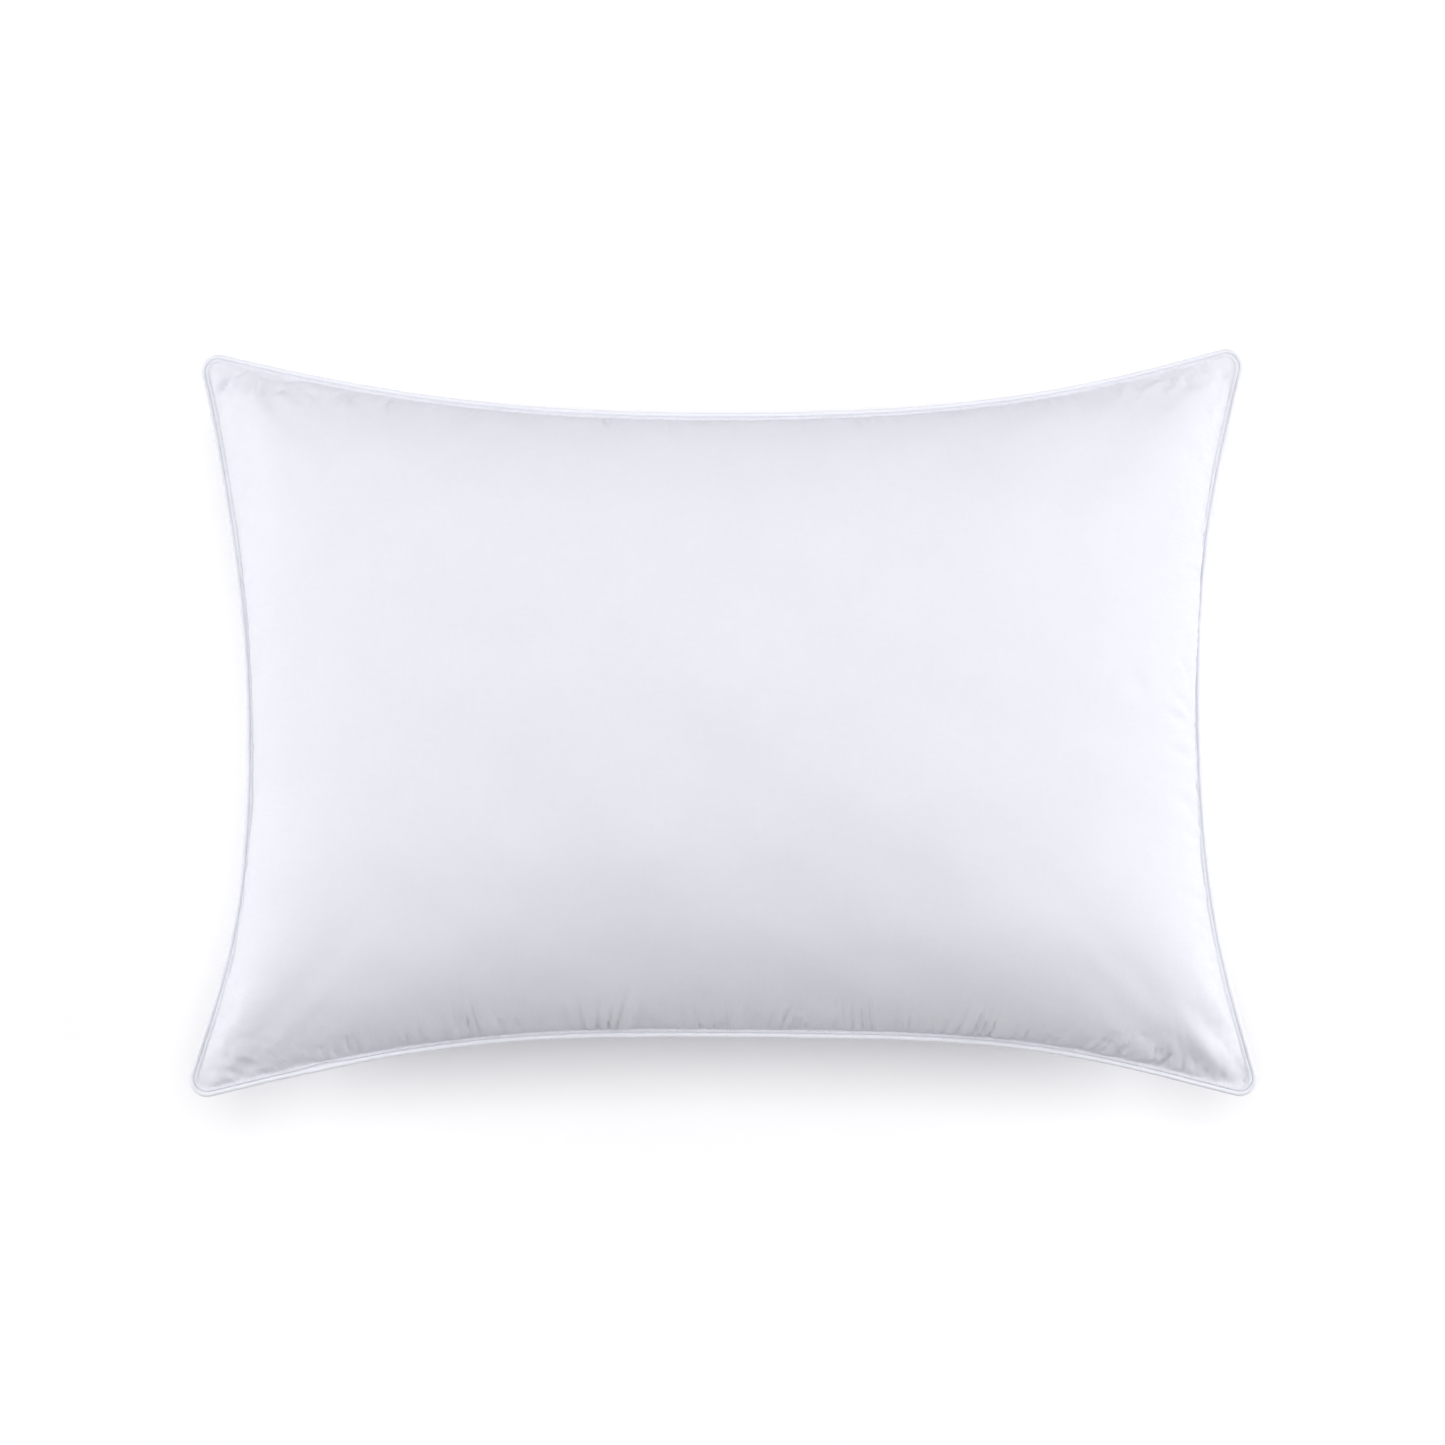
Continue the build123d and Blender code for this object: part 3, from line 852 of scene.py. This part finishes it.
FV = np.concatenate([TF.reshape(-1, 3), BF.reshape(-1, 3)])
FF = np.concatenate([quads(Ti), quads(Bi)[:, ::-1], strip(ta, ba)])
fl2 = np.stack([fx, fy, np.zeros_like(fx)], -1).reshape(-1, 3)
fill = make("down_and_feather_filling", FV, outward(FV, FF).tolist(), np.concatenate([fl2, fl2]))


# ---------------------------------------------------------------- materials
class Nodes:
    def __init__(self, name):
        self.mat = bpy.data.materials.new(name)
        self.mat.use_nodes = True
        self.t = self.mat.node_tree
        self.t.nodes.clear()
        self.out = self.t.nodes.new("ShaderNodeOutputMaterial")
        self.bsdf = self.t.nodes.new("ShaderNodeBsdfPrincipled")
        self.link(self.bsdf.outputs[0], self.out.inputs["Surface"])

    def link(self, a, b):
        self.t.links.new(a, b)

    def new(self, kind, **kw):
        n = self.t.nodes.new(kind)
        for k, v in kw.items():
            setattr(n, k, v)
        return n

    def put(self, socket, v):
        if hasattr(v, "is_output"):
            self.link(v, socket)
        else:
            socket.default_value = v

    def math(self, op, a, b=0.0, c=0.0, clamp=False):
        n = self.new("ShaderNodeMath", operation=op, use_clamp=clamp)
        for k, v in enumerate((a, b, c)):
            self.put(n.inputs[k], v)
        return n.outputs[0]

    def cloth(self):
        a = self.new("ShaderNodeAttribute", attribute_name="cloth")
        return a.outputs["Vector"]

    def split(self, v):
        s = self.new("ShaderNodeSeparateXYZ")
        self.link(v, s.inputs[0])
        return s.outputs

    def noise(self, v, scale, detail=2.0, rough=0.5, stretch=(1, 1, 1), dims="3D"):
        m = self.new("ShaderNodeMapping")
        self.link(v, m.inputs["Vector"])
        m.inputs["Scale"].default_value = stretch
        n = self.new("ShaderNodeTexNoise", noise_dimensions=dims)
        self.link(m.outputs[0], n.inputs["Vector"])
        n.inputs["Scale"].default_value = scale
        n.inputs["Detail"].default_value = detail
        n.inputs["Roughness"].default_value = rough
        return n.outputs[0]

    def mix(self, fac, a, b):
        n = self.new("ShaderNodeMix", data_type="RGBA")
        self.put(n.inputs[0], fac)
        self.put(n.inputs[6], a)
        self.put(n.inputs[7], b)
        return n.outputs[2]

    def ramp(self, fac, lo, hi, out_lo=0.0, out_hi=1.0):
        n = self.new("ShaderNodeMapRange")
        self.put(n.inputs[0], fac)
        for k, v in enumerate((lo, hi, out_lo, out_hi)):
            n.inputs[k + 1].default_value = v
        return n.outputs[0]

    def bump(self, height, strength, distance, normal=None):
        n = self.new("ShaderNodeBump")
        n.inputs["Strength"].default_value = strength
        n.inputs["Distance"].default_value = distance
        self.put(n.inputs["Height"], height)
        if normal is not None:
            self.link(normal, n.inputs["Normal"])
        return n.outputs[0]


def woven(name, light, dark, pitch=0.00030, bias=False, rough=(0.72, 0.86), sheen=0.18, mottle=1.0, seam=False):
    """A down-proof cotton: plain weave, thick and thin yarns, and the faint cloudiness of pressed cloth."""
    m = Nodes(name)
    c = m.cloth()
    if bias:
        r = m.new("ShaderNodeVectorRotate", rotation_type="Z_AXIS")
        m.link(c, r.inputs["Vector"])
        r.inputs["Angle"].default_value = math.pi / 4
        c = r.outputs[0]
    x, y, _ = m.split(c)
    k = math.pi / pitch
    wx = m.math("SINE", m.math("MULTIPLY", x, k))
    wy = m.math("SINE", m.math("MULTIPLY", y, k))
    weave = m.math("MULTIPLY", m.math("MULTIPLY", wx, wy), 0.5)
    yarn = m.math("ADD", m.math("ABSOLUTE", wx), m.math("ABSOLUTE", wy))
    height = m.math("MULTIPLY_ADD", yarn, 0.35, weave)
    slub_x = m.noise(c, 1.0, 2.0, 0.55, stretch=(90, 1500, 1))
    slub_y = m.noise(c, 1.0, 2.0, 0.55, stretch=(1500, 90, 1))
    slub = m.math("ADD", slub_x, slub_y)
    cloud = m.noise(c, 26.0, 5.0, 0.62)
    fine = m.noise(c, 210.0, 3.0, 0.6)
    tone = m.math("ADD", m.math("MULTIPLY", m.ramp(slub, 0.72, 1.28), 0.35), m.math("MULTIPLY", m.ramp(cloud, 0.3, 0.7), 0.4))
    tone = m.math("ADD", tone, m.math("MULTIPLY", m.ramp(fine, 0.3, 0.7), 0.25), clamp=True)
    col = m.mix(tone, (*dark, 1), (*light, 1))
    m.put(m.bsdf.inputs["Base Color"], col)
    rg = m.ramp(m.math("ADD", cloud, m.math("MULTIPLY", fine, 0.5)), 0.5, 1.0, rough[0], rough[1])
    m.put(m.bsdf.inputs["Roughness"], rg)
    b1 = m.bump(m.math("MULTIPLY_ADD", slub, 1.1, height), 0.42, 0.00006)
    b2 = m.bump(m.noise(c, 120.0, 4.0, 0.6), 0.35 * mottle, 0.00035, b1)
    if seam:  # the fine end of the puckers beside the seam
        rim = m.new("ShaderNodeAttribute", attribute_name="rim").outputs["Vector"]
        _, away, _ = m.split(rim)
        fine_pucker = m.noise(rim, 1.0, 3.0, 0.55, stretch=(330, 34, 1))
        crush = m.noise(rim, 150.0, 5.0, 0.65)
        keep = m.new("ShaderNodeAttribute", attribute_name="keep").outputs["Fac"]
        near = m.math("MULTIPLY", m.math("POWER", 2.718, m.math("MULTIPLY", away, -34.0)), keep)
        h = m.math("MULTIPLY", m.math("ADD", fine_pucker, m.math("MULTIPLY", crush, 0.35)), near)
        b2 = m.bump(h, 0.75, 0.0013, b2)
    m.link(b2, m.bsdf.inputs["Normal"])
    m.bsdf.inputs["Sheen Weight"].default_value = sheen
    m.bsdf.inputs["Sheen Roughness"].default_value = 0.45
    m.bsdf.inputs["Sheen Tint"].default_value = (0.95, 0.96, 1.0, 1)
    m.bsdf.inputs["Specular IOR Level"].default_value = 0.28
    return m.mat


def thread_material(name, light, dark, twist=0.0007):
    """Sewing thread: plies that wind round it, with a little gloss, and painted shade that darkens the colour in the
    grooves between the plies.
    """
    m = Nodes(name)
    c = m.cloth()
    x, y, _ = m.split(c)
    ply = m.math("SINE", m.math("ADD", m.math("MULTIPLY", x, 2 * math.pi / twist), m.math("MULTIPLY", y, 5200.0)))
    n = m.noise(c, 900.0, 3.0, 0.6)
    # painted shade: the colour goes to the dark end in the grooves between the plies, where the ply bump is lowest; the
    # noise part is random tone
    tone = m.math("ADD", m.math("MULTIPLY", m.ramp(ply, -1, 1), 0.6), m.math("MULTIPLY", n, 0.4), clamp=True)
    m.put(m.bsdf.inputs["Base Color"], m.mix(tone, (*dark, 1), (*light, 1)))
    m.put(m.bsdf.inputs["Roughness"], m.ramp(n, 0.2, 0.8, 0.45, 0.62))
    m.link(m.bump(ply, 0.6, 0.00006), m.bsdf.inputs["Normal"])
    m.bsdf.inputs["Sheen Weight"].default_value = 0.1
    m.bsdf.inputs["Specular IOR Level"].default_value = 0.4
    return m.mat


def down_material(name):
    m = Nodes(name)
    c = m.cloth()
    big, small = m.noise(c, 70.0, 6.0, 0.7), m.noise(c, 900.0, 4.0, 0.7, stretch=(1, 0.35, 1))
    tone = m.math("ADD", m.math("MULTIPLY", big, 0.6), m.math("MULTIPLY", small, 0.5), clamp=True)
    m.put(m.bsdf.inputs["Base Color"], m.mix(tone, (0.62, 0.60, 0.56, 1), (0.88, 0.87, 0.84, 1)))
    m.put(m.bsdf.inputs["Roughness"], m.ramp(small, 0, 1, 0.85, 1.0))
    m.link(m.bump(m.math("ADD", big, small), 0.8, 0.0015), m.bsdf.inputs["Normal"])
    m.bsdf.inputs["Sheen Weight"].default_value = 0.4
    return m.mat


def floor_material(name):
    m = Nodes(name)
    g = m.new("ShaderNodeTexCoord")
    n = m.noise(g.outputs["Object"], 3.0, 3.0, 0.5)
    m.put(m.bsdf.inputs["Base Color"], m.mix(n, (0.935, 0.932, 0.935, 1), (0.955, 0.952, 0.955, 1)))
    m.put(m.bsdf.inputs["Roughness"], m.ramp(n, 0, 1, 0.85, 0.95))
    m.bsdf.inputs["Specular IOR Level"].default_value = 0.1
    m.bsdf.inputs["Emission Color"].default_value = (1.0, 0.995, 1.0, 1)
    far = m.new("ShaderNodeVectorMath", operation="LENGTH")
    m.link(g.outputs["Object"], far.inputs[0])
    m.put(m.bsdf.inputs["Emission Strength"], m.ramp(far.outputs["Value"], 0.8, 3.0, FLOOR_GLOW, 0.95))
    return m.mat


WORLD, OVER, TOP, LEFT, RIGHT, FLOOR_GLOW = 0.143, 49.5, 8.5, 27.3, 31.3, 0.06
COVER_LIGHT, COVER_DARK = (0.769, 0.771, 0.819), (0.723, 0.729, 0.782)
PIPE_LIGHT, PIPE_DARK = (0.80, 0.803, 0.845), (0.752, 0.757, 0.806)
cotton = woven("cotton_cover", COVER_LIGHT, COVER_DARK, seam=True)
piping_cloth = woven("cotton_piping", PIPE_LIGHT, PIPE_DARK, bias=True, mottle=0.5)
thread_mat = thread_material("sewing_thread", (0.86, 0.86, 0.88), (0.70, 0.70, 0.74))
cord_mat = thread_material("filler_cord_cotton", (0.80, 0.78, 0.72), (0.62, 0.60, 0.54), twist=0.0024)
down_mat = down_material("down_and_feather")

finish = {
    top_panel: (cotton, ["top_panel"], "cover"),
    bottom_panel: (cotton, ["bottom_panel"], "cover"),
    casing: (piping_cloth, ["piping_casing"], "piping"),
    cord: (cord_mat, ["piping_cord"], "cord"),
    needle: (thread_mat, ["topstitch_needle_thread"], "thread"),
    bobbin: (thread_mat, ["topstitch_bobbin_thread"], "thread"),
    join_needle: (thread_mat, ["assembly_needle_thread"], "thread"),
    join_bobbin: (thread_mat, ["assembly_bobbin_thread"], "thread"),
    overlock: (thread_mat, ["overlock_thread"], "thread"),
    closing: (thread_mat, ["closing_stitch_thread"], "thread"),
    fill: (down_mat, ["down_and_feather_fill"], "filling"),
}
for ob, (mat, nodes, slot) in finish.items():
    ob.data.materials.append(mat)
    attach(ob, "root")
    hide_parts(*nodes)

# ---------------------------------------------------------------- floor, light and camera
fv = [(-9, -9, 0), (9, -9, 0), (9, 9, 0), (-9, 9, 0)]
floor = make("studio_floor", fv, [(0, 1, 2, 3)], smooth=False)
floor.data.materials.append(floor_material("floor_pale"))
floor.location.z = -0.0002

world = bpy.data.worlds.new("studio")
bpy.context.scene.world = world
world.use_nodes = True
bg = world.node_tree.nodes["Background"]
bg.inputs[0].default_value = (0.955, 0.965, 1.05, 1)
bg.inputs[1].default_value = WORLD
# the studio's pale backdrop, seen behind the floor's far edge
backdrop = world.node_tree.nodes.new("ShaderNodeBackground")
backdrop.inputs[0].default_value = (1.0, 0.998, 1.0, 1)
backdrop.inputs[1].default_value = 0.97
seen = world.node_tree.nodes.new("ShaderNodeLightPath")
either = world.node_tree.nodes.new("ShaderNodeMixShader")
wl = world.node_tree.links
wl.new(seen.outputs["Is Camera Ray"], either.inputs[0])
wl.new(bg.outputs[0], either.inputs[1])
wl.new(backdrop.outputs[0], either.inputs[2])
wl.new(either.outputs[0], world.node_tree.nodes["World Output"].inputs["Surface"])


def area(name, place, aim, size, power, color=(1, 1, 1)):
    d = bpy.data.lights.new(name, "AREA")
    d.shape = "RECTANGLE"
    d.size, d.size_y = size
    d.energy = power
    d.color = color
    o = bpy.data.objects.new(name, d)
    o.location = place
    o.rotation_euler = (Vector(aim) - Vector(place)).to_track_quat("-Z", "Y").to_euler()
    o.visible_camera = False
    bpy.context.collection.objects.link(o)
    return o


area("soft_over", (0.0, 0.35, 2.9), (0, 0.0, 0.05), (2.4, 2.4), OVER)
area("key_top", (0.0, 2.1, 1.7), (0, 0.0, 0.05), (2.6, 1.4), TOP)
area("soft_left", (-2.1, 0.1, 1.0), (0, 0, 0.05), (1.4, 1.4), LEFT)
area("soft_right", (2.1, 0.1, 1.0), (0, 0, 0.05), (1.4, 1.4), RIGHT)

cam_data = bpy.data.cameras.new("camera")
cam = bpy.data.objects.new("camera", cam_data)
bpy.context.collection.objects.link(cam)
CAM_D, CAM_EL = 2.1, math.radians(86.0)
target = Vector((-0.0008, -0.0002, SEAM_Z))
cam.location = target + Vector((0, -CAM_D * math.cos(CAM_EL), CAM_D * math.sin(CAM_EL)))
cam.rotation_euler = (target - cam.location).to_track_quat("-Z", "Y").to_euler()
cam_data.sensor_width = 36
cam_data.lens = 36 * CAM_D / (1445 * 0.000667)
bpy.context.scene.camera = cam
bpy.context.scene.view_settings.view_transform = "Standard"
bpy.context.scene.view_settings.look = "None"
